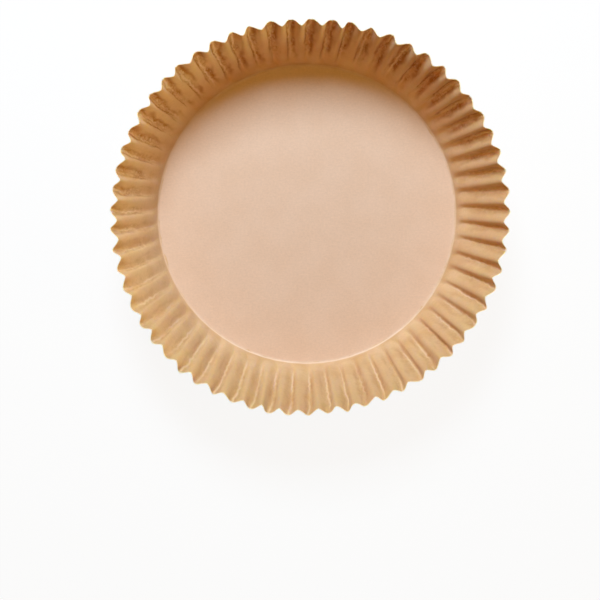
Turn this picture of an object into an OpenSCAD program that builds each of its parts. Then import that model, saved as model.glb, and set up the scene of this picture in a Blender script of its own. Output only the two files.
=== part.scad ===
// Round fluted paper liner, pressed from one flat disc of greaseproof paper.
// Origin at the middle of the base's underside, +Z up out of the cup, a flute's tip at +Y.

/* [Cup] */
// Diameter of the base, to the corner where the slope of the wall meets the table
base_d = 160; // [120:1:185]
// Diameter of the rim, over the outer tips of the flutes
rim_d = 200; // [175:1:260]
// Height from the table to the highest edge of the rim
cup_h = 45; // [20:1:90]

/* [Paper] */
// Thickness of the paper
paper_t = 0.1; // [0.06:0.01:0.3]
// Radius of the fold between the base and the wall, on the underside
fold_r = 1.8; // [1:0.1:4]

/* [Flutes] */
// Number of flutes round the wall
flutes = 62; // [40:2:72]
// Share of the spare paper that the flutes take up, the rest being fine crumpling
flute_take = 0.67; // [0.3:0.01:1]
// Sharpness of the tips, from a soft wave to a crisp zigzag
tip_sharpness = 0.93; // [0.5:0.01:0.98]

/* [Hidden] */

// Kraft brown of unbleached paper
paper_colour = [0.80, 0.62, 0.43];

base_r = base_d / 2;
rim_r = rim_d / 2;

// Points that follow one flute, as shares of its width from the outer tip:
// three round the outer tip, three round the inner one, and straight flanks between.
tip_round = 0.1;
flute_points = [0, tip_round, 0.5 - tip_round, 0.5, 0.5 + tip_round, 1 - tip_round];
// Rings of points up the fold, and up the wall above it
fold_rings = 2;
wall_rings = 4;
// Small step at which slopes are taken, in millimetres up the paper or shares of a flute
slope_step = 0.001;
// Passes that settle the lean of the wall, which depends a little on the flutes' depth
lean_passes = 8;

// Half the depth of a flute, where a circle of paper of radius blank_r has been drawn in
// to the radius wall_r. The spare length of the circle goes into straight zigzags.
function half_depth(blank_r, wall_r) =
    let (
        pitch = 2 * PI * wall_r / flutes,
        stretch = 1 + flute_take * (blank_r / wall_r - 1)
    )
    pitch / 4 * sqrt(max(0, stretch * stretch - 1));

// The fold's arc, and how far it starts from the sharp corner that it rounds
function fold_arc(lean) = fold_r * (90 - lean) * PI / 180;
function fold_tangent(lean) = fold_r * tan((90 - lean) / 2);

// The lean of the wall from upright, and its length from the sharp corner, at which the
// outer tips reach the rim's diameter and the inner ones reach the cup's height
function settled_wall(passes, lean, length) =
    passes == 0 ? [lean, length] :
    let (
        blank_r = base_r + length + fold_arc(lean) - 2 * fold_tangent(lean),
        h = half_depth(blank_r, base_r + length * sin(lean)),
        across = rim_r - base_r - h * cos(lean),
        up = cup_h - h * sin(lean)
    )
    settled_wall(passes - 1, atan2(across, up), norm([across, up]));

straight_wall = [rim_r - base_r, cup_h];
wall = settled_wall(lean_passes, atan2(straight_wall.x, straight_wall.y), norm(straight_wall));
lean = wall[0];
fold_turn = 90 - lean;
fold_l = fold_arc(lean);
flat_r = base_r - fold_tangent(lean);
wall_l = wall[1] - fold_tangent(lean);
fold_end_r = flat_r + fold_r * sin(fold_turn);
fold_end_z = fold_r * (1 - cos(fold_turn));

// The underside's profile, s millimetres up the paper from the edge of the flat base,
// as its radius, its height and how far it has turned up from flat
function profile(s) =
    s < fold_l ?
        let (turn = fold_turn * s / fold_l)
        [flat_r + fold_r * sin(turn), fold_r * (1 - cos(turn)), turn] :
        [fold_end_r + (s - fold_l) * sin(lean), fold_end_z + (s - fold_l) * cos(lean), fold_turn];

// The flutes' wave, from 1 at an outer tip to -1 at an inner one
function wave(share) = asin(tip_sharpness * cos(360 * share)) / asin(tip_sharpness);

// A point of the underside, in the flute with this number, counted round from +Y
function underside(s, flute, share) =
    let (
        p = profile(s),
        out = half_depth(flat_r + s, p[0]) * wave(share),
        r = p[0] + out * sin(p[2]),
        around = 90 + 360 * (flute + share) / flutes
    )
    [r * cos(around), r * sin(around), p[1] - out * cos(p[2])];

// The point of the topside opposite it, one paper thickness in, square to the paper
function topside(s, flute, share) =
    let (
        here = underside(s, flute, share),
        along = underside(s, flute, share + slope_step) - here,
        up = underside(s + slope_step, flute, share) - here,
        inward = cross(up, along)
    )
    here + paper_t * inward / norm(inward);

// Places of the rings of points above the flat base. They lie closer near the fold,
// where the flutes deepen fastest.
rings = [
    for (i = [1 : fold_rings]) fold_l * i / fold_rings,
    for (i = [1 : wall_rings]) fold_l + wall_l * pow(i / wall_rings, 2)
];

// The rings of one side of the paper, after a coarser first ring round the flat base
underside_points = [
    for (f = [0 : flutes - 1]) underside(0, f, 0),
    for (s = rings, f = [0 : flutes - 1], share = flute_points) underside(s, f, share)
];
topside_points = [
    for (f = [0 : flutes - 1]) underside(0, f, 0) + [0, 0, paper_t],
    for (s = rings, f = [0 : flutes - 1], share = flute_points) topside(s, f, share)
];

side_count = len(underside_points);
flute_count = len(flute_points);
ring_count = flutes * flute_count;
half_count = flute_count / 2;

// Number of a point on the underside, by its ring, flute and place in the flute, where
// the place after a flute's last is the first of the next flute
function at(ring, flute, place) =
    flutes + ring * ring_count + (flute * flute_count + place) % ring_count;

// Faces of the underside, seen clockwise from outside. Each flank's diagonals mirror
// those of the flank across its tip.
underside_faces = [
    [for (f = [0 : flutes - 1]) f],
    for (f = [0 : flutes - 1]) let (next = (f + 1) % flutes) each [
        for (p = [0 : half_count - 1]) [f, at(0, f, p), at(0, f, p + 1)],
        [f, at(0, f, half_count), next],
        for (p = [half_count : flute_count - 1]) [next, at(0, f, p), at(0, f, p + 1)]
    ],
    for (ring = [0 : len(rings) - 2], f = [0 : flutes - 1], p = [0 : flute_count - 1])
        let (
            a = at(ring, f, p),
            b = at(ring, f, p + 1),
            c = at(ring + 1, f, p + 1),
            d = at(ring + 1, f, p)
        )
        each p < half_count ? [[a, d, c], [a, c, b]] : [[a, d, b], [b, d, c]]
];
// The topside has the same faces, turned over
topside_faces = [
    for (face = underside_faces) [for (i = [len(face) - 1 : -1 : 0]) face[i] + side_count]
];
// The cut edge of the paper, round the rim
edge_faces = [
    for (f = [0 : flutes - 1], p = [0 : flute_count - 1])
        let (
            a = at(len(rings) - 1, f, p),
            b = at(len(rings) - 1, f, p + 1)
        )
        each [
            [a, a + side_count, b + side_count],
            [a, b + side_count, b]
        ]
];

module liner() {
    color(paper_colour)
        polyhedron(
            points = concat(underside_points, topside_points),
            faces = concat(underside_faces, topside_faces, edge_faces),
            convexity = 10
        );
}

liner();
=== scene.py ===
"""Round fluted paper liner for an air fryer, seen from above in soft studio light.

The real liner is one disc of unbleached greaseproof paper, pressed between fluted dies. The
script follows that: it cuts the flat disc, presses it into a cup, crumples the paper in the
flutes and gives the sheet its thickness. The sizes and the law of the flutes are those of the
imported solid, which the new mesh stands for.
"""

from __future__ import annotations

import logging
import math
import random
from dataclasses import dataclass, field
from enum import Enum

import bmesh
import bpy
from mathutils import Matrix, Vector, noise

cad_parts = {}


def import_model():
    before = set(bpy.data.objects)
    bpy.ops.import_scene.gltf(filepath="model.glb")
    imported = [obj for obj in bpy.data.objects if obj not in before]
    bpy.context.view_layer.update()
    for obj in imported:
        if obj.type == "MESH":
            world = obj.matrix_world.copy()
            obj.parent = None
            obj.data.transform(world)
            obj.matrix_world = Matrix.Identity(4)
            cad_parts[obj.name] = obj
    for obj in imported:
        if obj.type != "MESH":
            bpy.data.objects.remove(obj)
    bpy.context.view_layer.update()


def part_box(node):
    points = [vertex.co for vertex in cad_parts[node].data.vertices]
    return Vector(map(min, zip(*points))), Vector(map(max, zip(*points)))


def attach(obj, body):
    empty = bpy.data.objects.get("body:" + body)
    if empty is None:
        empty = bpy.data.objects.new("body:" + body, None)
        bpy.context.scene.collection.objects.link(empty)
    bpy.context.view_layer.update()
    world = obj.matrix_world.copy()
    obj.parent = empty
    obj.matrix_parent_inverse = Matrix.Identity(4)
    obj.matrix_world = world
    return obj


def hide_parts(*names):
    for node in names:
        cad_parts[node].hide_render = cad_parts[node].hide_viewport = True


LOG = logging.getLogger("liner")
MM = 0.001


def srgb(code: str) -> tuple[float, float, float, float]:
    """Turns a written colour into the linear one that the shaders take.

    Args:
        code: six hex digits of an sRGB colour.

    Returns:
        Linear red, green and blue, and an alpha of 1.
    """
    parts = [int(code[i : i + 2], 16) / 255 for i in (0, 2, 4)]
    linear = [p / 12.92 if p <= 0.04045 else ((p + 0.055) / 1.055) ** 2.4 for p in parts]
    return (linear[0], linear[1], linear[2], 1.0)


def smooth_step(value: float, low: float, high: float) -> float:
    """Rises smoothly from 0 at low to 1 at high.

    Args:
        value: the number to place.
        low: where the rise starts.
        high: where it ends.

    Returns:
        A share from 0 to 1.
    """
    share = min(1.0, max(0.0, (value - low) / (high - low)))
    return share * share * (3 - 2 * share)


def add_node(
    tree: bpy.types.NodeTree, kind: str, inputs: dict | None = None, **settings: object
) -> bpy.types.Node:
    """Adds a node with its settings and links.

    Args:
        tree: the node tree to add to.
        kind: Blender's name for the node's type.
        inputs: what goes into each input, a value or another node's output.
        settings: the node's own settings.

    Returns:
        The new node.
    """
    node = tree.nodes.new(kind)
    for name, value in settings.items():
        setattr(node, name, value)
    for key, value in (inputs or {}).items():
        if isinstance(value, bpy.types.NodeSocket):
            tree.links.new(value, node.inputs[key])
        else:
            node.inputs[key].default_value = value
    return node


class Layer(Enum):
    """Names of what the mesh carries for its material."""

    FLAT = "flat_disc"
    FLUTES = "round_the_flutes"
    RISE = "rise"


@dataclass(frozen=True)
class CupForm:
    """The dies' shape, in metres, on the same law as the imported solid."""

    rim_r: float
    height: float
    base_r: float = 80 * MM
    fold_r: float = 2.0 * MM
    paper_t: float = 0.1 * MM
    flutes: int = 62
    flute_take: float = 0.67
    # Sharpness of the grooves' tips and of the ridges, each near the base and at the rim
    tip_sharpness: tuple[float, float] = (0.99, 0.45)
    ridge_sharpness: tuple[float, float] = (0.50, 0.80)
    # Narrow grooves and broad ridges near the base, and the other way round at the rim
    tip_pinch: tuple[float, float] = (0.24, -0.18)
    # Share of the wall's height from which the grooves change to their shape at the rim
    opens_from: float = 0.72
    lean: float = field(init=False)
    wall_l: float = field(init=False)

    def __post_init__(self) -> None:
        """Settles the wall's lean, at which the flutes just reach the rim's size."""
        lean = math.atan2(self.rim_r - self.base_r, self.height)
        length = math.hypot(self.rim_r - self.base_r, self.height)
        for _ in range(8):
            tangent = self.fold_r * math.tan((math.pi / 2 - lean) / 2)
            blank_r = self.base_r + length + self.fold_r * (math.pi / 2 - lean) - 2 * tangent
            wall_r = self.base_r + length * math.sin(lean)
            half = self.half_depth(blank_r, wall_r)
            across = self.rim_r - self.base_r - half * math.cos(lean)
            up = self.height - half * math.sin(lean)
            lean = math.atan2(across, up)
            length = math.hypot(across, up)
        object.__setattr__(self, "lean", lean)
        object.__setattr__(self, "wall_l", length - self.fold_tangent)

    @property
    def fold_turn(self) -> float:
        """Angle that the paper turns through in the fold, in radians."""
        return math.pi / 2 - self.lean

    @property
    def fold_l(self) -> float:
        """Length of the fold's arc."""
        return self.fold_r * self.fold_turn

    @property
    def fold_tangent(self) -> float:
        """How far from the sharp corner the fold starts."""
        return self.fold_r * math.tan(self.fold_turn / 2)

    @property
    def flat_r(self) -> float:
        """Radius of the flat part of the base."""
        return self.base_r - self.fold_tangent

    @property
    def blank_r(self) -> float:
        """Radius of the flat disc that the liner is pressed from."""
        return self.flat_r + self.fold_l + self.wall_l

    def half_depth(self, blank_r: float, wall_r: float) -> float:
        """Half a flute's depth, where the paper's spare length goes into zigzags.

        Args:
            blank_r: radius of a circle on the flat disc.
            wall_r: radius to which the pressing draws that circle in.

        Returns:
            Half the depth of the flutes there.
        """
        pitch = math.tau * wall_r / self.flutes
        stretch = 1 + self.flute_take * (blank_r / wall_r - 1)
        return pitch / 4 * math.sqrt(max(0.0, stretch * stretch - 1))

    def profile(self, along: float) -> tuple[float, float, float]:
        """The smooth die's profile, before flutes.

        Args:
            along: distance up the paper from the edge of the flat base.

        Returns:
            Radius, height, and the angle turned up from flat.
        """
        if along <= 0:
            return (self.flat_r + along, 0.0, 0.0)
        turn = self.fold_turn * min(1.0, along / self.fold_l)
        rest = max(0.0, along - self.fold_l)
        radius = self.flat_r + self.fold_r * math.sin(turn) + rest * math.sin(self.lean)
        return (radius, self.fold_r * (1 - math.cos(turn)) + rest * math.cos(self.lean), turn)

    def wave(self, share: float, rise: float, opening: float) -> float:
        """The flutes' cross-section, with grooves that open and round off towards the rim.

        Args:
            share: place in the flute, 0 at the outer tip and 0.5 either way at a ridge.
            rise: share of the way up the wall.
            opening: how much wider than usual this groove opens at the rim.

        Returns:
            1 at an outer tip, falling to -1 at an inner ridge.
        """
        opened = smooth_step(rise, self.opens_from, 1.0)
        pinch = self.tip_pinch[0]
        pinch += (self.tip_pinch[1] - opening - self.tip_pinch[0]) * opened
        tip, rim_tip = self.tip_sharpness
        ridge, rim_ridge = self.ridge_sharpness
        tip += (rim_tip - tip) * opened
        ridge += (rim_ridge - ridge) * opened
        phase = math.tau * share
        crest = math.cos(phase + pinch * math.sin(phase))
        sharp = ridge + (tip - ridge) * (crest + 1) / 2
        return math.asin(sharp * crest) / math.asin(sharp)


@dataclass(frozen=True)
class Handling:
    """How far one real liner strays from its dies, in metres and radians."""

    seed: int = 11
    depth_spread: float = 0.13
    # How deep the flutes are against the spare paper's law, and how much more half way up
    pressed_depth: float = 1.09
    mid_swell: float = 0.16
    # Share of their depth with which the flutes start, and the height that gives the rest
    foot_depth: float = 0.4
    foot_rise: float = 0.08
    turn_spread: float = math.radians(0.22)
    opening_spread: float = 0.12
    # Out-of-round shares of the rim's radius, read off the photograph's outline
    two_lobes: tuple[float, float] = (0.0040, 0.0044)
    three_lobes: tuple[float, float] = (0.0051, 0.0030)
    four_lobes: tuple[float, float] = (-0.0050, -0.0001)
    rim_wave: float = 0.45 * MM
    rim_wave_l: float = 60 * MM
    base_wave: float = 0.22 * MM
    base_wave_l: float = 42 * MM
    base_wave_fade: float = 12 * MM
    tip_wander: float = 0.34 * MM
    tip_wander_l: float = 2.6 * MM
    crumple: float = 0.34 * MM
    crumple_l: float = 2.8 * MM
    ridge_buckle: float = 0.10 * MM
    ridge_buckle_l: float = 9 * MM
    crush: float = 0.36
    # Width of a groove's crushed middle, and the height and width of the line that the die
    # presses up it, with both widths as shares of a flute
    crush_w: float = 0.21
    nose: float = 0.10 * MM
    nose_w: float = 0.055
    # Share of a flute's width by which each groove leans over, anticlockwise from above, and
    # how much of that is gone at the rim
    skew: float = 0.14
    righted: float = 0.85
    righted_from: float = 0.8
    # The flutes at the back were crumpled more than those at the front, and the painted shade in the
    # grooves is strongest there too
    smooth_share: float = 0.28
    handled_way: tuple[float, float] = (-0.12, 0.99)
    handled_from: float = -20 * MM
    handled_to: float = 75 * MM
    # On the left the flutes were pressed flatter below the rim
    flattened: float = 0.56
    flattened_from: float = 30 * MM
    flattened_to: float = 95 * MM
    # Share of the wall's height from which they get back their full depth
    flattened_rise: float = 0.76

    def handled(self, point: Vector) -> float:
        """Share of the full crumpling on this side of the liner.

        Args:
            point: a point of the flat disc.

        Returns:
            A share, 1 at the back.
        """
        way = point.x * self.handled_way[0] + point.y * self.handled_way[1]
        share = smooth_step(way, self.handled_from, self.handled_to)
        return self.smooth_share + (1 - self.smooth_share) * share

    def depth_kept(self, point: Vector, rise: float) -> float:
        """Share of their depth that the flutes keep here.

        Args:
            point: a point of the flat disc.
            rise: share of the way up the wall.

        Returns:
            A share, 1 on the right and at the rim.
        """
        left = smooth_step(-point.x, self.flattened_from, self.flattened_to)
        return 1 - self.flattened * left * (1 - smooth_step(rise, self.flattened_rise, 1.0))

    def leaning(self, rise: float) -> float:
        """Share of the skew that the grooves have at this height.

        Args:
            rise: share of the way up the wall.

        Returns:
            A share, 0 at the fold and 1 half way up.
        """
        return smooth_step(rise, 0.0, 0.15) - self.righted * smooth_step(rise, self.righted_from, 1.0)

    def out_of_round(self, angle: float) -> float:
        """Share by which the rim stands out at this angle.

        Args:
            angle: angle round the axis from +X.

        Returns:
            A share of the rim's radius.
        """
        lobes = enumerate((self.two_lobes, self.three_lobes, self.four_lobes), start=2)
        return sum(c * math.cos(k * angle) + s * math.sin(k * angle) for k, (c, s) in lobes)


@dataclass(frozen=True)
class FluteHabit:
    """What is particular to one flute, or to the ridge after it."""

    depth: float
    turn: float
    opening: float
    crush: float
    phase: float


@dataclass(frozen=True)
class PaperPlace:
    """Where a shaded point lies on the paper, as outputs of the material's nodes.

    The sheet is the flat disc, the crimp is the wall unrolled round its flutes, and both are in
    millimetres. Across is the distance from the nearest groove's middle. Forward is the distance
    to the front, in metres. Handled is less on the side where the flutes kept smoother; it also
    sets how strongly the painted shade in the grooves shows, most at the back, which is in shade.
    """

    sheet: bpy.types.NodeSocket
    crimp: bpy.types.NodeSocket
    across: bpy.types.NodeSocket
    rise: bpy.types.NodeSocket
    forward: bpy.types.NodeSocket
    handled: bpy.types.NodeSocket


@dataclass(frozen=True)
class GreaseproofPaper:
    """Unbleached greaseproof paper with a silicone coat, super-calendered and pressed.

    Long brown fibres, rolled flat, give a cloudy, faintly streaked brown. The coat adds a soft
    satin sheen on the flat base, and a painted sheen makes the base's tone paler than the wall's.
    Where the pressing folds and crumples the paper, the coat cracks into darker lines and pale
    flecks. Painted shade darkens the grooves' crushed middles and the hollows beside them, and a
    painted highlight runs up each groove's middle.
    """

    name: str = "greaseproof_kraft_paper"
    # Base tone, paler than the wall's by a painted sheen of the coat
    base_tone_with_sheen: str = "E2C2A8"
    base_blush: str = "E0BFA4"
    # The wall by the fold and at the rim, darker towards the rim, and in its clouds
    wall_tone: str = "DEB88D"
    rim_tone: str = "CDA874"
    wall_deep: str = "D2A879"
    # Tint of the darkened cracks and of the painted shade in the grooves
    crease_and_shade_tint: str = "C4A45C"
    # Pale flecks, and the painted highlight up the grooves' middles
    fleck_and_highlight_tone: str = "F2D6B4"
    # Painted highlight along the fold round the base
    fold_highlight_tone: str = "F4DCC6"
    # Painted highlight on the cut edge
    cut_edge_highlight: str = "F8E4C0"
    gloss: float = 0.05
    sheen: float = 0.12
    base_rough: float = 0.40
    wall_rough: float = 0.62
    # Share of light that soaks through the thin sheet, and how far it reaches in each colour
    glow: float = 0.28
    glow_reach: tuple[float, float, float] = (1.0, 0.55, 0.08)
    glow_mm: float = 0.55
    cloud_mm: float = 16.0
    grain_mm: float = 1.1
    # Real fibres are 0.03 mm wide and 2 mm long, too fine to show, so they are drawn as
    # bundles of them
    fibre_w_mm: float = 0.35
    fibre_l_mm: float = 3.0
    fibre_relief_mm: float = 0.012
    # Flutes are about 9 mm apart, and a fold runs up each side of a groove's crumpled middle
    flute_mm: float = 9.2
    fold_from_mm: float = 1.95
    fold_sway_mm: float = 0.9
    hollow_w_mm: float = 1.45
    nose_w_mm: float = 0.85
    nose_sway_mm: float = 0.25
    # How strongly the crackle is darkened, the crushed middles and the hollows are darkened as
    # painted shade, and the noses are lightened as a painted highlight
    crackle_tint: float = 0.35
    middle_shade_tint: float = 0.4
    hollow_shade_tint: float = 0.7
    nose_highlight_tint: float = 0.38
    fleck_w_mm: float = 0.9
    fleck_l_mm: float = 2.4
    # Width of the patches of wall in which the hollows and the noses show
    patch_w_mm: float = 3.7
    crackle_w_mm: float = 1.5
    crackle_l_mm: float = 3.6
    crackle_relief_mm: float = 0.05
    fold_relief_mm: float = 0.06
    # Width of the painted highlight along the fold
    fold_highlight_mm: float = 0.85
    fold_wave_mm: float = 9.0
    fold_stray_mm: float = 2.2
    edge_highlight_mm: float = 0.9

    def build(self, form: CupForm, handling: Handling) -> bpy.types.Material:
        """Makes the node material.

        Args:
            form: the cup's sizes, from which the patterns get their scale.
            handling: on which side the liner is crumpled more.

        Returns:
            The new material.
        """
        material = bpy.data.materials.new(self.name)
        material.use_nodes = True
        tree = material.node_tree
        tree.nodes.clear()
        place = self.place(tree, form, handling)
        crumpled = self.crumpled_share(tree, place)
        crackle = self.crackle(tree, place, crumpled)
        folds = self.side_folds(tree, place)
        nose = self.nose_line(tree, place)
        fibres = self.fibres(tree, place)
        paper = self.plain_colour(tree, place, form, fibres)
        creased = self.creased_colour(tree, place, paper, crackle, folds, nose, crumpled)
        wall = add_node(
            tree,
            "ShaderNodeMapRange",
            {"Value": place.rise, "From Max": 0.05},
            interpolation_type="SMOOTHSTEP",
        ).outputs["Result"]
        rough = add_node(
            tree,
            "ShaderNodeMapRange",
            {"Value": wall, "To Min": self.base_rough, "To Max": self.wall_rough},
        ).outputs["Result"]
        soaking = add_node(
            tree, "ShaderNodeMath", {0: wall, 1: self.glow}, operation="MULTIPLY"
        ).outputs["Value"]
        shader = add_node(
            tree,
            "ShaderNodeBsdfPrincipled",
            {
                "Base Color": self.edged_colour(tree, place, creased, form),
                "Roughness": rough,
                "Sheen Weight": self.sheen,
                "Sheen Roughness": 0.5,
                "IOR": 1.48,
                "Specular IOR Level": self.gloss,
                "Subsurface Weight": soaking,
                "Subsurface Radius": self.glow_reach,
                "Subsurface Scale": self.glow_mm * MM,
                "Normal": self.relief(tree, crackle, folds, nose, fibres),
            },
        )
        add_node(tree, "ShaderNodeOutputMaterial", {"Surface": shader.outputs["BSDF"]})
        return material

    def place(
        self, tree: bpy.types.NodeTree, form: CupForm, handling: Handling
    ) -> PaperPlace:
        """Reads the mesh's maps and turns them to millimetres.

        Args:
            tree: the material's node tree.
            form: the cup's sizes.
            handling: on which side the liner is crumpled more.

        Returns:
            Where the shaded point lies.
        """
        disc_mm = 2 * form.blank_r / MM
        flat = add_node(tree, "ShaderNodeUVMap", uv_map=Layer.FLAT.value).outputs["UV"]
        sheet = add_node(
            tree, "ShaderNodeMapping", {"Vector": flat, "Scale": (disc_mm, disc_mm, 1.0)}
        ).outputs["Vector"]
        turned = add_node(tree, "ShaderNodeUVMap", uv_map=Layer.FLUTES.value).outputs["UV"]
        scale = (self.flute_mm * form.flutes, disc_mm, 1.0)
        crimp = add_node(
            tree, "ShaderNodeMapping", {"Vector": turned, "Scale": scale}
        ).outputs["Vector"]
        round_mm = add_node(tree, "ShaderNodeSeparateXYZ", {"Vector": crimp}).outputs["X"]
        across = add_node(
            tree,
            "ShaderNodeMath",
            {0: round_mm, 1: self.flute_mm / 2, 2: -self.flute_mm / 2},
            operation="WRAP",
        ).outputs["Value"]
        rise = add_node(
            tree, "ShaderNodeAttribute", attribute_name=Layer.RISE.value
        ).outputs["Fac"]
        spot = add_node(tree, "ShaderNodeTexCoord").outputs["Object"]
        back = add_node(
            tree,
            "ShaderNodeVectorMath",
            {0: spot, 1: (*handling.handled_way, 0.0)},
            operation="DOT_PRODUCT",
        ).outputs["Value"]
        handled = add_node(
            tree,
            "ShaderNodeMapRange",
            {
                "Value": back,
                "From Min": handling.handled_from,
                "From Max": handling.handled_to,
                "To Min": handling.smooth_share,
            },
            interpolation_type="SMOOTHSTEP",
        ).outputs["Result"]
        beyond = add_node(tree, "ShaderNodeSeparateXYZ", {"Vector": spot}).outputs["Y"]
        forward = add_node(
            tree, "ShaderNodeMath", {0: beyond, 1: -1.0}, operation="MULTIPLY"
        ).outputs["Value"]
        return PaperPlace(sheet, crimp, across, rise, forward, handled)

    def crumpled_share(
        self, tree: bpy.types.NodeTree, place: PaperPlace
    ) -> bpy.types.NodeSocket:
        """How crumpled the paper is: in the middle of the grooves, and more towards the rim.

        Args:
            tree: the material's node tree.
            place: where the shaded point lies.

        Returns:
            A share from 0 to 1.
        """
        off = add_node(
            tree, "ShaderNodeMath", {0: place.across}, operation="ABSOLUTE"
        ).outputs["Value"]
        deep = add_node(
            tree,
            "ShaderNodeMapRange",
            {
                "Value": off,
                "From Min": self.fold_from_mm * 1.35,
                "From Max": self.fold_from_mm * 0.7,
            },
            interpolation_type="SMOOTHSTEP",
        ).outputs["Result"]
        up = add_node(
            tree,
            "ShaderNodeMapRange",
            {"Value": place.rise, "From Min": 0.15, "From Max": 0.5},
            interpolation_type="SMOOTHSTEP",
        ).outputs["Result"]
        patches = add_node(
            tree,
            "ShaderNodeTexNoise",
            {"Vector": place.crimp, "Scale": 1 / self.flute_mm, "Detail": 1.0},
            noise_dimensions="2D",
        ).outputs["Fac"]
        patches = add_node(
            tree,
            "ShaderNodeMapRange",
            {"Value": patches, "From Min": 0.3, "From Max": 0.62, "To Min": 0.3},
        ).outputs["Result"]
        high = add_node(
            tree, "ShaderNodeMath", {0: deep, 1: up}, operation="MULTIPLY"
        ).outputs["Value"]
        handled = add_node(
            tree, "ShaderNodeMath", {0: patches, 1: place.handled}, operation="MULTIPLY"
        ).outputs["Value"]
        return add_node(
            tree, "ShaderNodeMath", {0: high, 1: handled}, operation="MULTIPLY"
        ).outputs["Value"]

    def crackle(
        self,
        tree: bpy.types.NodeTree,
        place: PaperPlace,
        crumpled: bpy.types.NodeSocket,
    ) -> bpy.types.NodeSocket:
        """The net of sharp little creases, drawn out along the flutes.

        Args:
            tree: the material's node tree.
            place: where the shaded point lies.
            crumpled: how crumpled the paper is.

        Returns:
            1 on a crease of crumpled paper, 0 between creases and on smooth paper.
        """
        sway = add_node(
            tree,
            "ShaderNodeTexNoise",
            {"Vector": place.crimp, "Scale": 1 / self.crackle_l_mm, "Detail": 3.0},
            noise_dimensions="2D",
        ).outputs["Color"]
        swayed = add_node(
            tree,
            "ShaderNodeVectorMath",
            {0: sway, 1: (self.crackle_w_mm * 1.5, self.crackle_l_mm, 0.0), 2: place.crimp},
            operation="MULTIPLY_ADD",
        ).outputs["Vector"]
        drawn = add_node(
            tree,
            "ShaderNodeMapping",
            {"Vector": swayed, "Scale": (1 / self.crackle_w_mm, 1 / self.crackle_l_mm, 1.0)},
        ).outputs["Vector"]
        net = add_node(
            tree,
            "ShaderNodeTexVoronoi",
            {"Vector": drawn, "Scale": 1.0},
            feature="DISTANCE_TO_EDGE",
            voronoi_dimensions="2D",
        ).outputs["Distance"]
        line = add_node(
            tree,
            "ShaderNodeMapRange",
            {"Value": net, "From Min": 0.24, "From Max": 0.0},
            interpolation_type="SMOOTHSTEP",
        ).outputs["Result"]
        return add_node(
            tree, "ShaderNodeMath", {0: line, 1: crumpled}, operation="MULTIPLY"
        ).outputs["Value"]

    def side_folds(
        self, tree: bpy.types.NodeTree, place: PaperPlace
    ) -> bpy.types.NodeSocket:
        """The wavy fold up each side of a groove, where the flat flank ends; its mask gives the
        fold's bump and the painted shade of the hollow beside it.

        Args:
            tree: the material's node tree.
            place: where the shaded point lies.

        Returns:
            1 on a fold, 0 off it.
        """
        sway = self.sway(tree, place, (5.0, 11.0), 2.5, self.fold_sway_mm)
        side = add_node(
            tree, "ShaderNodeMath", {0: place.across}, operation="ABSOLUTE"
        ).outputs["Value"]
        side = add_node(
            tree, "ShaderNodeMath", {0: side, 1: sway}, operation="ADD"
        ).outputs["Value"]
        off = add_node(
            tree, "ShaderNodeMath", {0: side, 1: self.fold_from_mm}, operation="SUBTRACT"
        ).outputs["Value"]
        off = add_node(
            tree, "ShaderNodeMath", {0: off}, operation="ABSOLUTE"
        ).outputs["Value"]
        hollow = add_node(
            tree,
            "ShaderNodeMapRange",
            {"Value": off, "From Min": self.hollow_w_mm, "From Max": 0.0},
            interpolation_type="SMOOTHSTEP",
        ).outputs["Result"]
        # The painted shade of the hollows shows most at the back, which is in shade
        handled = add_node(
            tree, "ShaderNodeMath", {0: hollow, 1: place.handled}, operation="MULTIPLY"
        ).outputs["Value"]
        return self.kept(tree, place, handled, 20.0)

    def nose_line(
        self, tree: bpy.types.NodeTree, place: PaperPlace
    ) -> bpy.types.NodeSocket:
        """The line that the die's edge presses up the middle of each groove, whose mask also paints a
        highlight along it.

        Args:
            tree: the material's node tree.
            place: where the shaded point lies.

        Returns:
            1 on the line, 0 off it.
        """
        sway = self.sway(tree, place, (6.0, 6.0), 3.0, self.nose_sway_mm)
        off = add_node(
            tree, "ShaderNodeMath", {0: place.across, 1: sway}, operation="ADD"
        ).outputs["Value"]
        off = add_node(
            tree, "ShaderNodeMath", {0: off}, operation="ABSOLUTE"
        ).outputs["Value"]
        line = add_node(
            tree,
            "ShaderNodeMapRange",
            {"Value": off, "From Min": self.nose_w_mm, "From Max": self.nose_w_mm / 4},
            interpolation_type="SMOOTHSTEP",
        ).outputs["Result"]
        return self.kept(tree, place, line, 30.0)

    @staticmethod
    def sway(
        tree: bpy.types.NodeTree,
        place: PaperPlace,
        bend_mm: tuple[float, float],
        detail: float,
        reach_mm: float,
    ) -> bpy.types.NodeSocket:
        """How far a line up the wall strays sideways.

        Args:
            tree: the material's node tree.
            place: where the shaded point lies.
            bend_mm: about how far apart its bends are, round the wall and up it.
            detail: how many finer bends it has.
            reach_mm: how far it strays.

        Returns:
            The distance in millimetres, either way.
        """
        drawn = add_node(
            tree,
            "ShaderNodeMapping",
            {"Vector": place.crimp, "Scale": (1 / bend_mm[0], 1 / bend_mm[1], 1.0)},
        ).outputs["Vector"]
        wave = add_node(
            tree,
            "ShaderNodeTexNoise",
            {"Vector": drawn, "Scale": 1.0, "Detail": detail},
            noise_dimensions="2D",
        ).outputs["Fac"]
        return add_node(
            tree,
            "ShaderNodeMapRange",
            {
                "Value": wave,
                "From Min": 0.25,
                "From Max": 0.75,
                "To Min": -reach_mm,
                "To Max": reach_mm,
            },
        ).outputs["Result"]

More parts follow.
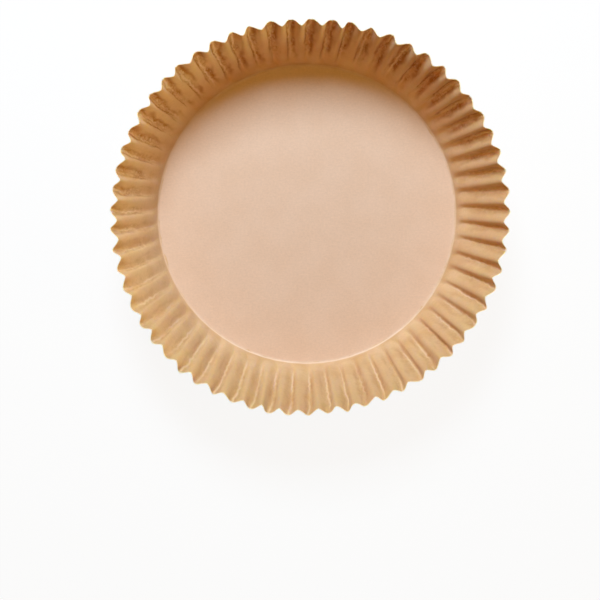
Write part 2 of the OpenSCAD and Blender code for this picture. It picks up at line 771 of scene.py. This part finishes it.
    def kept(
        self,
        tree: bpy.types.NodeTree,
        place: PaperPlace,
        line: bpy.types.NodeSocket,
        length_mm: float,
    ) -> bpy.types.NodeSocket:
        """Keeps a line of the wall only in parts, some flutes more than others.

        Args:
            tree: the material's node tree.
            place: where the shaded point lies.
            line: the line.
            length_mm: about how long the parts are.

        Returns:
            The line, fading out near the base and in its gaps.
        """
        drawn = add_node(
            tree,
            "ShaderNodeMapping",
            {"Vector": place.crimp, "Scale": (1 / self.patch_w_mm, 1 / length_mm, 1.0)},
        ).outputs["Vector"]
        parts = add_node(
            tree,
            "ShaderNodeTexNoise",
            {"Vector": drawn, "Scale": 1.0, "Detail": 1.0},
            noise_dimensions="2D",
        ).outputs["Fac"]
        parts = add_node(
            tree,
            "ShaderNodeMapRange",
            {"Value": parts, "From Min": 0.36, "From Max": 0.58},
            interpolation_type="SMOOTHSTEP",
        ).outputs["Result"]
        up = add_node(
            tree,
            "ShaderNodeMapRange",
            {"Value": place.rise, "From Min": 0.08, "From Max": 0.34},
            interpolation_type="SMOOTHSTEP",
        ).outputs["Result"]
        shown = add_node(
            tree, "ShaderNodeMath", {0: line, 1: parts}, operation="MULTIPLY"
        ).outputs["Value"]
        return add_node(
            tree, "ShaderNodeMath", {0: shown, 1: up}, operation="MULTIPLY"
        ).outputs["Value"]

    def fibres(self, tree: bpy.types.NodeTree, place: PaperPlace) -> bpy.types.NodeSocket:
        """Bundles of long fibres that lie mostly along the paper machine's run.

        Args:
            tree: the material's node tree.
            place: where the shaded point lies.

        Returns:
            How much fibre lies there, about 0.5 on average.
        """
        stretched = add_node(
            tree,
            "ShaderNodeMapping",
            {
                "Vector": place.sheet,
                "Rotation": (0.0, 0.0, math.radians(12)),
                "Scale": (1 / self.fibre_l_mm, 1 / self.fibre_w_mm, 1.0),
            },
        ).outputs["Vector"]
        return add_node(
            tree,
            "ShaderNodeTexNoise",
            {"Vector": stretched, "Scale": 1.0, "Detail": 3.0, "Distortion": 0.6},
            noise_dimensions="2D",
        ).outputs["Fac"]

    def relief(
        self,
        tree: bpy.types.NodeTree,
        crackle: bpy.types.NodeSocket,
        folds: bpy.types.NodeSocket,
        nose: bpy.types.NodeSocket,
        fibres: bpy.types.NodeSocket,
    ) -> bpy.types.NodeSocket:
        """Bump of the creases, the folds and the fibres.

        Args:
            tree: the material's node tree.
            crackle: the net of creases.
            folds: the folds beside the grooves' middles.
            nose: the line up each groove's middle.
            fibres: the fibre bundles.

        Returns:
            The bumped normal.
        """
        height = add_node(
            tree,
            "ShaderNodeMath",
            {0: crackle, 1: -self.crackle_relief_mm, 2: 0.0},
            operation="MULTIPLY_ADD",
        ).outputs["Value"]
        height = add_node(
            tree,
            "ShaderNodeMath",
            {0: folds, 1: -self.fold_relief_mm, 2: height},
            operation="MULTIPLY_ADD",
        ).outputs["Value"]
        height = add_node(
            tree,
            "ShaderNodeMath",
            {0: nose, 1: self.fold_relief_mm, 2: height},
            operation="MULTIPLY_ADD",
        ).outputs["Value"]
        creased = add_node(
            tree, "ShaderNodeBump", {"Height": height, "Strength": 1.0, "Distance": MM}
        ).outputs["Normal"]
        return add_node(
            tree,
            "ShaderNodeBump",
            {
                "Height": fibres,
                "Strength": 0.6,
                "Distance": self.fibre_relief_mm * MM,
                "Normal": creased,
            },
        ).outputs["Normal"]

    def past_fold(
        self, tree: bpy.types.NodeTree, place: PaperPlace, form: CupForm
    ) -> bpy.types.NodeSocket:
        """Where the wall's tone begins and the base's painted sheen ends, on a slightly wavy line
        along the fold.

        Args:
            tree: the material's node tree.
            place: where the shaded point lies.
            form: the cup's sizes.

        Returns:
            0 on the base, 1 on the wall.
        """
        wave = add_node(
            tree,
            "ShaderNodeTexNoise",
            {"Vector": place.sheet, "Scale": 1 / self.fold_wave_mm, "Detail": 2.0},
            noise_dimensions="2D",
        ).outputs["Fac"]
        out_mm = add_node(tree, "ShaderNodeSeparateXYZ", {"Vector": place.crimp}).outputs["Y"]
        swayed = add_node(
            tree,
            "ShaderNodeMath",
            {0: wave, 1: self.fold_stray_mm, 2: out_mm},
            operation="MULTIPLY_ADD",
        ).outputs["Value"]
        start = (form.flat_r + form.fold_l * 0.4) / MM + self.fold_stray_mm / 2
        return add_node(
            tree,
            "ShaderNodeMapRange",
            {"Value": swayed, "From Min": start - 0.35, "From Max": start + 0.35},
            interpolation_type="SMOOTHSTEP",
        ).outputs["Result"]

    def plain_colour(
        self,
        tree: bpy.types.NodeTree,
        place: PaperPlace,
        form: CupForm,
        fibres: bpy.types.NodeSocket,
    ) -> bpy.types.NodeSocket:
        """The paper's colour before creases, with a painted sheen in the base's paler tone.

        Args:
            tree: the material's node tree.
            place: where the shaded point lies.
            form: the cup's sizes.
            fibres: the fibre bundles.

        Returns:
            The colour.
        """
        clouds = add_node(
            tree,
            "ShaderNodeTexNoise",
            {"Vector": place.sheet, "Scale": 1 / self.cloud_mm, "Detail": 4.0},
            noise_dimensions="2D",
        ).outputs["Fac"]
        cloudy = add_node(
            tree,
            "ShaderNodeMapRange",
            {"Value": clouds, "From Min": 0.35, "From Max": 0.65},
        ).outputs["Result"]
        # The base's tone carries the painted sheen
        base = add_node(
            tree,
            "ShaderNodeMix",
            {0: cloudy, 6: srgb(self.base_tone_with_sheen), 7: srgb(self.base_blush)},
            data_type="RGBA",
        ).outputs[2]
        wall = add_node(
            tree,
            "ShaderNodeMix",
            {0: place.rise, 6: srgb(self.wall_tone), 7: srgb(self.rim_tone)},
            data_type="RGBA",
        ).outputs[2]
        wall = add_node(
            tree,
            "ShaderNodeMix",
            {0: cloudy, 6: wall, 7: srgb(self.wall_deep)},
            data_type="RGBA",
        ).outputs[2]
        on_wall = self.past_fold(tree, place, form)
        paper = add_node(
            tree, "ShaderNodeMix", {0: on_wall, 6: base, 7: wall}, data_type="RGBA"
        ).outputs[2]
        specks = add_node(
            tree,
            "ShaderNodeTexNoise",
            {"Vector": place.sheet, "Scale": 1 / self.grain_mm, "Detail": 2.0},
            noise_dimensions="2D",
        ).outputs["Fac"]
        grain = add_node(
            tree, "ShaderNodeMath", {0: fibres, 1: specks}, operation="ADD"
        ).outputs["Value"]
        tint = add_node(
            tree,
            "ShaderNodeMapRange",
            {"Value": grain, "From Min": 0.6, "From Max": 1.4, "To Min": 0.95, "To Max": 1.05},
        ).outputs["Result"]
        return add_node(
            tree,
            "ShaderNodeMix",
            {0: 1.0, 6: paper, 7: tint},
            data_type="RGBA",
            blend_type="MULTIPLY",
        ).outputs[2]

    def creased_colour(
        self,
        tree: bpy.types.NodeTree,
        place: PaperPlace,
        paper: bpy.types.NodeSocket,
        crackle: bpy.types.NodeSocket,
        folds: bpy.types.NodeSocket,
        nose: bpy.types.NodeSocket,
        crumpled: bpy.types.NodeSocket,
    ) -> bpy.types.NodeSocket:
        """Darkens the cracked creases, paints shade into the grooves' crushed middles and the hollows
        beside them, and adds pale flecks and a painted highlight up each groove's middle.

        Args:
            tree: the material's node tree.
            place: where the shaded point lies.
            paper: the paper's own colour.
            crackle: the net of creases.
            folds: the folds beside the grooves' middles, darkened here as painted shade.
            nose: the line up each groove's middle, lightened here as a painted highlight.
            crumpled: how crumpled the paper is, which also darkens the grooves' middles as painted
                shade.

        Returns:
            The colour.
        """
        # Painted shade in the grooves' crushed middles and in the hollows, over the darkened cracks
        dark = add_node(
            tree, "ShaderNodeMath", {0: crackle, 1: self.crackle_tint}, operation="MULTIPLY"
        ).outputs["Value"]
        dark = add_node(
            tree,
            "ShaderNodeMath",
            {0: crumpled, 1: self.middle_shade_tint, 2: dark},
            operation="MULTIPLY_ADD",
        ).outputs["Value"]
        dark = add_node(
            tree,
            "ShaderNodeMath",
            {0: folds, 1: self.hollow_shade_tint, 2: dark},
            operation="MULTIPLY_ADD",
            use_clamp=True,
        ).outputs["Value"]
        paper = add_node(
            tree,
            "ShaderNodeMix",
            {0: dark, 6: paper, 7: srgb(self.crease_and_shade_tint)},
            data_type="RGBA",
            blend_type="MULTIPLY",
        ).outputs[2]
        drawn = add_node(
            tree,
            "ShaderNodeMapping",
            {"Vector": place.crimp, "Scale": (1 / self.fleck_w_mm, 1 / self.fleck_l_mm, 1.0)},
        ).outputs["Vector"]
        flecks = add_node(
            tree,
            "ShaderNodeTexNoise",
            {"Vector": drawn, "Scale": 1.0, "Detail": 2.0},
            noise_dimensions="2D",
        ).outputs["Fac"]
        flecks = add_node(
            tree,
            "ShaderNodeMapRange",
            {"Value": flecks, "From Min": 0.56, "From Max": 0.7, "To Max": 0.35},
            interpolation_type="SMOOTHSTEP",
        ).outputs["Result"]
        light = add_node(
            tree, "ShaderNodeMath", {0: flecks, 1: crumpled}, operation="MULTIPLY"
        ).outputs["Value"]
        # Painted highlight along each groove's middle, over the pale flecks
        light = add_node(
            tree,
            "ShaderNodeMath",
            {0: nose, 1: self.nose_highlight_tint, 2: light},
            operation="MULTIPLY_ADD",
            use_clamp=True,
        ).outputs["Value"]
        return add_node(
            tree,
            "ShaderNodeMix",
            {0: light, 6: paper, 7: srgb(self.fleck_and_highlight_tone)},
            data_type="RGBA",
        ).outputs[2]

    def edged_colour(
        self,
        tree: bpy.types.NodeTree,
        place: PaperPlace,
        paper: bpy.types.NodeSocket,
        form: CupForm,
    ) -> bpy.types.NodeSocket:
        """Adds the painted highlight on the cut edge, and the painted highlight along the fold round
        the base, stronger at the front, where the fold faces the light.

        Args:
            tree: the material's node tree.
            place: where the shaded point lies.
            paper: the colour so far.
            form: the cup's sizes.

        Returns:
            The colour.
        """
        # Painted highlight in a band along the cut edge at the rim
        band = self.edge_highlight_mm * MM / form.wall_l
        edge = add_node(
            tree,
            "ShaderNodeMapRange",
            {"Value": place.rise, "From Min": 1 - band, "From Max": 1 - band / 3},
            interpolation_type="SMOOTHSTEP",
        ).outputs["Result"]
        paper = add_node(
            tree,
            "ShaderNodeMix",
            {0: edge, 6: paper, 7: srgb(self.cut_edge_highlight)},
            data_type="RGBA",
        ).outputs[2]
        out_mm = add_node(tree, "ShaderNodeSeparateXYZ", {"Vector": place.crimp}).outputs["Y"]
        off = add_node(
            tree,
            "ShaderNodeMath",
            {0: out_mm, 1: (form.flat_r + form.fold_l * 0.6) / MM},
            operation="SUBTRACT",
        ).outputs["Value"]
        off = add_node(
            tree, "ShaderNodeMath", {0: off}, operation="ABSOLUTE"
        ).outputs["Value"]
        line = add_node(
            tree,
            "ShaderNodeMapRange",
            {"Value": off, "From Min": self.fold_highlight_mm, "From Max": 0.0},
            interpolation_type="SMOOTHSTEP",
        ).outputs["Result"]
        # The fold's painted highlight is stronger at the front, which faces the key light
        fold_highlight_share = add_node(
            tree,
            "ShaderNodeMapRange",
            {
                "Value": place.forward,
                "From Min": 40 * MM,
                "From Max": 68 * MM,
                "To Min": 0.34,
                "To Max": 0.65,
            },
        ).outputs["Result"]
        line = add_node(
            tree, "ShaderNodeMath", {0: line, 1: fold_highlight_share}, operation="MULTIPLY"
        ).outputs["Value"]
        return add_node(
            tree,
            "ShaderNodeMix",
            {0: line, 6: paper, 7: srgb(self.fold_highlight_tone)},
            data_type="RGBA",
        ).outputs[2]


@dataclass
class PaperLiner:
    """The one piece of the liner: a disc of paper, cut, pressed and crumpled."""

    form: CupForm
    handling: Handling
    paper: GreaseproofPaper
    name: str = "paper_liner"
    node: str = "liner"
    slot: str = "kraft_paper"
    points_per_flute: int = 14
    fold_rings: int = 5
    wall_rings: int = 44
    base_rings: tuple[float, ...] = (0.12, 0.45, 0.75, 0.93)
    # How much closer the points stand in a groove than on a ridge
    groove_crowding: float = 0.5

    def __post_init__(self) -> None:
        """Draws what is particular to each flute and each ridge."""
        draw = random.Random(self.handling.seed)
        spread = self.handling
        self.tips = [self.habit(draw, spread) for _ in range(self.form.flutes)]
        self.ridges = [self.habit(draw, spread) for _ in range(self.form.flutes)]

    @staticmethod
    def habit(draw: random.Random, spread: Handling) -> FluteHabit:
        """Draws one flute's habit.

        Args:
            draw: the source of random numbers.
            spread: how far the flutes stray.

        Returns:
            The habit.
        """
        return FluteHabit(
            depth=draw.gauss(0, spread.depth_spread),
            turn=draw.gauss(0, spread.turn_spread),
            opening=draw.gauss(0, spread.opening_spread),
            crush=draw.uniform(0.2, 1.0) * spread.crush,
            phase=draw.uniform(0, 100),
        )

    def build(self) -> bpy.types.Object:
        """Makes the liner, dresses it and hangs it in the frame.

        Returns:
            The finished object.
        """
        mesh = bmesh.new()
        self.cut_disc(mesh)
        self.mark_layers(mesh)
        self.press(mesh)
        bmesh.ops.recalc_face_normals(mesh, faces=mesh.faces)
        self.thicken(mesh)
        data = bpy.data.meshes.new(self.name)
        mesh.to_mesh(data)
        mesh.free()
        data.shade_smooth()
        piece = bpy.data.objects.new(self.name, data)
        bpy.context.collection.objects.link(piece)
        data.materials.append(self.paper.build(self.form, self.handling))
        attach(piece, "root")
        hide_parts(self.node)
        return piece

    def ring_radii(self) -> list[float]:
        """Radii of the rings of points on the flat disc, from the middle to the cut edge."""
        form = self.form
        radii = [form.flat_r * share for share in self.base_rings]
        radii.append(form.flat_r)
        for length, rings in ((form.fold_l, self.fold_rings), (form.wall_l, self.wall_rings)):
            start = radii[-1]
            radii += [start + length * (i + 1) / rings for i in range(rings)]
        return radii

    def cut_disc(self, mesh: bmesh.types.BMesh) -> None:
        """Spins a row of points into one flute's slice of the disc, and that into the disc.

        Args:
            mesh: the mesh to fill.
        """
        row = [mesh.verts.new((0.0, radius, 0.0)) for radius in [0.0] + self.ring_radii()]
        edges = [mesh.edges.new(pair) for pair in zip(row, row[1:])]
        slice_angle = math.tau / self.form.flutes
        centre = {"axis": (0, 0, 1), "cent": (0, 0, 0)}
        bmesh.ops.spin(
            mesh, geom=row + edges, angle=slice_angle, steps=self.points_per_flute, **centre
        )
        bmesh.ops.spin(
            mesh,
            geom=mesh.verts[:] + mesh.edges[:] + mesh.faces[:],
            angle=math.tau - slice_angle,
            steps=self.form.flutes - 1,
            use_duplicate=True,
            **centre,
        )
        bmesh.ops.remove_doubles(mesh, verts=mesh.verts, dist=0.01 * MM)

    def place(self, point: Vector) -> tuple[float, int, float]:
        """Where a point of the flat disc lies among the flutes.

        Args:
            point: the point on the flat disc.

        Returns:
            Its radius, the number of the nearest flute counted from +Y, and its place in
            that flute, from -0.5 to 0.5 with 0 at the outer tip.
        """
        angle = math.atan2(point.y, point.x) - math.pi / 2
        turn = (angle / math.tau * self.form.flutes) % self.form.flutes
        flute = round(turn)
        share = turn - flute
        share -= self.groove_crowding / math.tau * math.sin(math.tau * share)
        return (point.xy.length, flute % self.form.flutes, share)

    def mark_layers(self, mesh: bmesh.types.BMesh) -> None:
        """Writes the flat disc's map and the wall's shares, which the material reads.

        Args:
            mesh: the flat disc.
        """
        flat = mesh.loops.layers.uv.new(Layer.FLAT.value)
        turned = mesh.loops.layers.uv.new(Layer.FLUTES.value)
        rise = mesh.verts.layers.float.new(Layer.RISE.value)
        form = self.form
        wall_start = form.flat_r + form.fold_l
        for vert in mesh.verts:
            vert[rise] = max(0.0, (vert.co.xy.length - wall_start) / form.wall_l)
        for face in mesh.faces:
            _, middle, middle_share = self.place(face.calc_center_median())
            for loop in face.loops:
                loop[flat].uv = loop.vert.co.xy / (2 * form.blank_r) + Vector((0.5, 0.5))
                radius, flute, share = self.place(loop.vert.co)
                turn = flute + share
                # The map's seam runs along one ridge, so a face beside it keeps to its side
                lap = round((middle + middle_share - turn) / form.flutes)
                loop[turned].uv = (turn / form.flutes + lap, radius / (2 * form.blank_r))

    def press(self, mesh: bmesh.types.BMesh) -> None:
        """Presses the flat disc into the fluted cup.

        Args:
            mesh: the flat disc.
        """
        for vert in mesh.verts:
            vert.co = self.pressed(vert.co)

    def pressed(self, point: Vector) -> Vector:
        """Where a point of the flat disc ends up in the cup.

        Args:
            point: the point on the flat disc.

        Returns:
            The point on the cup's underside.
        """
        form = self.form
        spread = self.handling
        radius, flute, share = self.place(point)
        along = radius - form.flat_r
        die_r, die_z, turn = form.profile(along)
        if along <= 0:
            swell = noise.noise(point / spread.base_wave_l) + 1
            fade = smooth_step(-along, 0, spread.base_wave_fade)
            return Vector((point.x, point.y, spread.base_wave * swell * fade))
        rise = max(0.0, (along - form.fold_l) / form.wall_l)
        tip = self.tips[flute]
        ridge = self.ridges[flute if share > 0 else flute - 1]
        groove = (1 + math.cos(math.tau * share)) / 2
        swell = smooth_step(rise, 0.05, 0.3) * (1 - smooth_step(rise, 0.7, 1.0))
        depth = spread.pressed_depth + spread.mid_swell * swell
        depth += tip.depth * groove + ridge.depth * (1 - groove)
        foot = spread.foot_depth
        depth *= foot + (1 - foot) * smooth_step(rise, 0.0, spread.foot_rise)
        depth *= spread.depth_kept(point, rise)
        half = form.half_depth(radius, die_r)
        out = half * form.wave(share, rise, tip.opening) * depth
        out -= self.crushed(tip, rise, share, half) * spread.handled(point)
        out += self.crumpled(point, rise, groove)
        pitch_angle = math.tau / form.flutes
        angle = math.pi / 2 + pitch_angle * (flute + share)
        angle += rise * (tip.turn * groove + ridge.turn * (1 - groove))
        angle += pitch_angle * spread.skew * spread.leaning(rise) * groove
        angle += self.wander(tip, along, rise) * groove * groove / die_r
        lean_out = die_r * spread.out_of_round(angle) * rise
        lean_out += spread.rim_wave * rise * noise.noise(point / spread.rim_wave_l)
        across = die_r + out * math.sin(turn) + lean_out
        up = die_z - out * math.cos(turn) - lean_out * math.tan(form.lean)
        return Vector((across * math.cos(angle), across * math.sin(angle), max(0.0, up)))

    def crushed(self, tip: FluteHabit, rise: float, share: float, half: float) -> float:
        """How far the middle of a groove is pushed back in, with the line that the die pressed.

        Args:
            tip: the flute's habit.
            rise: share of the way up the wall.
            share: place in the flute.
            half: half the flute's depth there.

        Returns:
            The distance pushed in.
        """
        band = smooth_step(self.handling.crush_w - abs(share), 0.0, 0.13)
        lasting = smooth_step(rise, 0.2, 0.45) * smooth_step(1 - rise, 0.0, 0.2)
        nose = self.handling.nose * math.exp(-((share / self.handling.nose_w) ** 2))
        return tip.crush * band * lasting * half * 2 + nose * smooth_step(rise, 0.08, 0.3)

    def crumpled(self, point: Vector, rise: float, groove: float) -> float:
        """Small sharp folds in the grooves, and shallow buckles on the ridges.

        Args:
            point: the point on the flat disc.
            rise: share of the way up the wall.
            groove: 1 in an outer tip, 0 on an inner ridge.

        Returns:
            The distance that the paper stands out.
        """
        spread = self.handling
        share = smooth_step(rise, 0.12, 0.45) * smooth_step(groove, 0.3, 0.85)
        sharp = 0.5 - abs(noise.noise(point / spread.crumple_l)) * 2
        buckle = noise.noise(point / spread.ridge_buckle_l + Vector((7, 3, 1)))
        soft = smooth_step(rise, 0.0, 0.3) * spread.ridge_buckle * buckle
        return spread.crumple * spread.handled(point) * share * sharp + soft

    def wander(self, tip: FluteHabit, along: float, rise: float) -> float:
        """How far a groove's crease strays sideways in small zigzags.

        Args:
            tip: the flute's habit.
            along: distance up the paper from the flat base.
            rise: share of the way up the wall.

        Returns:
            The distance sideways.
        """
        spread = self.handling
        zigzag = noise.noise(Vector((tip.phase, along / spread.tip_wander_l, 0.0)))
        lasting = smooth_step(rise, 0.1, 0.4) * smooth_step(1 - rise, -0.1, 0.2)
        return spread.tip_wander * 2 * zigzag * lasting

    def thicken(self, mesh: bmesh.types.BMesh) -> None:
        """Gives the sheet its thickness, inwards from the underside.

        Args:
            mesh: the pressed sheet.
        """
        bmesh.ops.solidify(mesh, geom=mesh.faces[:], thickness=self.form.paper_t)


@dataclass(frozen=True)
class SoftBox:
    """A square studio lamp with a diffuser."""

    name: str
    place: tuple[float, float, float]
    side: float
    watts: float
    colour: str = "FFFFFF"

    def build(self, target: Vector) -> bpy.types.Object:
        """Hangs the lamp, turned to the target.

        Args:
            target: the point that it lights.

        Returns:
            The lamp.
        """
        lamp = bpy.data.lights.new(self.name, "AREA")
        lamp.shape = "SQUARE"
        lamp.size = self.side
        lamp.energy = self.watts
        lamp.color = srgb(self.colour)[:3]
        lamp_object = bpy.data.objects.new(self.name, lamp)
        bpy.context.collection.objects.link(lamp_object)
        lamp_object.location = self.place
        away = Vector(self.place) - target
        lamp_object.rotation_euler = away.to_track_quat("Z", "Y").to_euler()
        return lamp_object


@dataclass(frozen=True)
class Studio:
    """A white table and white surroundings, with the lamps."""

    table_side: float = 8.0
    table_gap: float = 0.05 * MM
    # How much of the table's brightness to the camera is its own, so that shadows stay pale
    table_own_light: float = 0.90
    table_tone: str = "F2F2F2"
    # A warm fill and a cooler key, which add up to white on a level surface
    sky_fill: float = 0.168
    fill_colour: str = "FFBD7D"
    lamps: tuple[SoftBox, ...] = (
        SoftBox("key_softbox", (-0.09, 0.53, 0.59), 0.28, 8.3, "CFE8FF"),
        SoftBox("high_softbox", (-0.03, 0.30, 1.55), 0.35, 4.2, "FFCE48"),
        SoftBox("side_softbox", (1.22, -0.44, 0.20), 0.25, 7.4, "FFFBD2"),
    )

    def build(self, target: Vector) -> None:
        """Makes the table, the surroundings and the lamps.

        Args:
            target: the point that the lamps light.
        """
        self.lay_table()
        self.paint_surroundings()
        for lamp in self.lamps:
            lamp.build(target)

    @staticmethod
    def seen_rays(tree: bpy.types.NodeTree) -> bpy.types.NodeSocket:
        """1 for the rays that see the background: from the camera, by gloss or through glass.

        Args:
            tree: the node tree to add to.

        Returns:
            1 or 0.
        """
        path = add_node(tree, "ShaderNodeLightPath").outputs
        seen = add_node(
            tree,
            "ShaderNodeMath",
            {0: path["Is Camera Ray"], 1: path["Is Glossy Ray"]},
            operation="MAXIMUM",
        ).outputs["Value"]
        return add_node(
            tree,
            "ShaderNodeMath",
            {0: seen, 1: path["Is Transmission Ray"]},
            operation="MAXIMUM",
        ).outputs["Value"]

    def lay_table(self) -> None:
        """Lays the white table that the liner stands on."""
        mesh = bmesh.new()
        bmesh.ops.create_grid(mesh, x_segments=1, y_segments=1, size=self.table_side / 2)
        bmesh.ops.translate(mesh, verts=mesh.verts, vec=(0, 0, -self.table_gap))
        data = bpy.data.meshes.new("table")
        mesh.to_mesh(data)
        mesh.free()
        table = bpy.data.objects.new("table", data)
        bpy.context.collection.objects.link(table)
        material = bpy.data.materials.new("white_table_laminate")
        material.use_nodes = True
        tree = material.node_tree
        tree.nodes.clear()
        matt = add_node(tree, "ShaderNodeBsdfDiffuse", {"Color": srgb(self.table_tone)})
        glow = add_node(tree, "ShaderNodeEmission", {"Strength": 1.0})
        share = add_node(
            tree,
            "ShaderNodeMath",
            {0: self.seen_rays(tree), 1: self.table_own_light},
            operation="MULTIPLY",
        ).outputs["Value"]
        shown = add_node(
            tree,
            "ShaderNodeMixShader",
            {0: share, 1: matt.outputs["BSDF"], 2: glow.outputs["Emission"]},
        )
        add_node(tree, "ShaderNodeOutputMaterial", {"Surface": shown.outputs["Shader"]})
        data.materials.append(material)

    def paint_surroundings(self) -> None:
        """Makes the surroundings white to the eye, and a dim even fill to the object."""
        world = bpy.data.worlds.new("white_studio")
        world.use_nodes = True
        tree = world.node_tree
        tree.nodes.clear()
        fill = add_node(
            tree,
            "ShaderNodeBackground",
            {"Color": srgb(self.fill_colour), "Strength": self.sky_fill},
        )
        white = add_node(
            tree, "ShaderNodeBackground", {"Color": srgb("FFFFFF"), "Strength": 1.0}
        )
        shown = add_node(
            tree,
            "ShaderNodeMixShader",
            {
                0: self.seen_rays(tree),
                1: fill.outputs["Background"],
                2: white.outputs["Background"],
            },
        )
        add_node(tree, "ShaderNodeOutputWorld", {"Surface": shown.outputs["Shader"]})
        bpy.context.scene.world = world


@dataclass(frozen=True)
class PhotoView:
    """The photograph's viewpoint, from its 600 by 600 pixel frame."""

    image_px: int = 600
    rim_centre_px: tuple[float, float] = (309.7, 220.5)
    rim_radius_px: float = 200.0
    lens_mm: float = 70.0
    sensor_mm: float = 36.0
    # How far the camera stands off the cup's axis, as slopes towards +X and +Y
    off_axis: tuple[float, float] = (-0.037, 0.052)
    roll: float = math.radians(0.45)

    def build(self, form: CupForm) -> bpy.types.Object:
        """Sets the camera up over the cup.

        Args:
            form: the cup's sizes.

        Returns:
            The camera.
        """
        data = bpy.data.cameras.new("camera")
        data.lens = self.lens_mm
        data.sensor_width = self.sensor_mm
        data.sensor_fit = "HORIZONTAL"
        camera = bpy.data.objects.new("camera", data)
        bpy.context.collection.objects.link(camera)
        focal_px = self.lens_mm / self.sensor_mm * self.image_px
        distance = focal_px * form.rim_r / self.rim_radius_px
        away = Vector((self.off_axis[0], self.off_axis[1], 1.0)).normalized()
        target = Vector((0.0, 0.0, form.height))
        upright = Vector((0.0, 1.0, 0.0))
        right = upright.cross(away).normalized()
        turned = Matrix((right, away.cross(right), away)).transposed()
        across_px = self.rim_centre_px[0] - self.image_px / 2
        up_px = self.image_px / 2 - self.rim_centre_px[1]
        swing = Matrix.Rotation(math.atan2(across_px, focal_px), 3, "Y")
        nod = Matrix.Rotation(-math.atan2(up_px, focal_px), 3, "X")
        roll = Matrix.Rotation(self.roll, 3, "Z")
        placed = (turned @ swing @ nod @ roll).to_4x4()
        placed.translation = target + away * distance
        camera.matrix_world = placed
        bpy.context.scene.camera = camera
        return camera


def main() -> None:
    """Builds the liner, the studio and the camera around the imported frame."""
    logging.basicConfig(level=logging.INFO, format="%(name)s: %(message)s")
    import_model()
    _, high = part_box("liner")
    form = CupForm(rim_r=float(high[1]), height=float(high[2]) - CupForm.paper_t)
    liner = PaperLiner(form, Handling(), GreaseproofPaper()).build()
    LOG.info("%s: %d faces", liner.name, len(liner.data.polygons))
    Studio().build(Vector((0.0, 0.0, form.height / 2)))
    PhotoView().build(form)
    bpy.context.scene.view_settings.view_transform = "Standard"


if __name__ == "__main__":
    main()
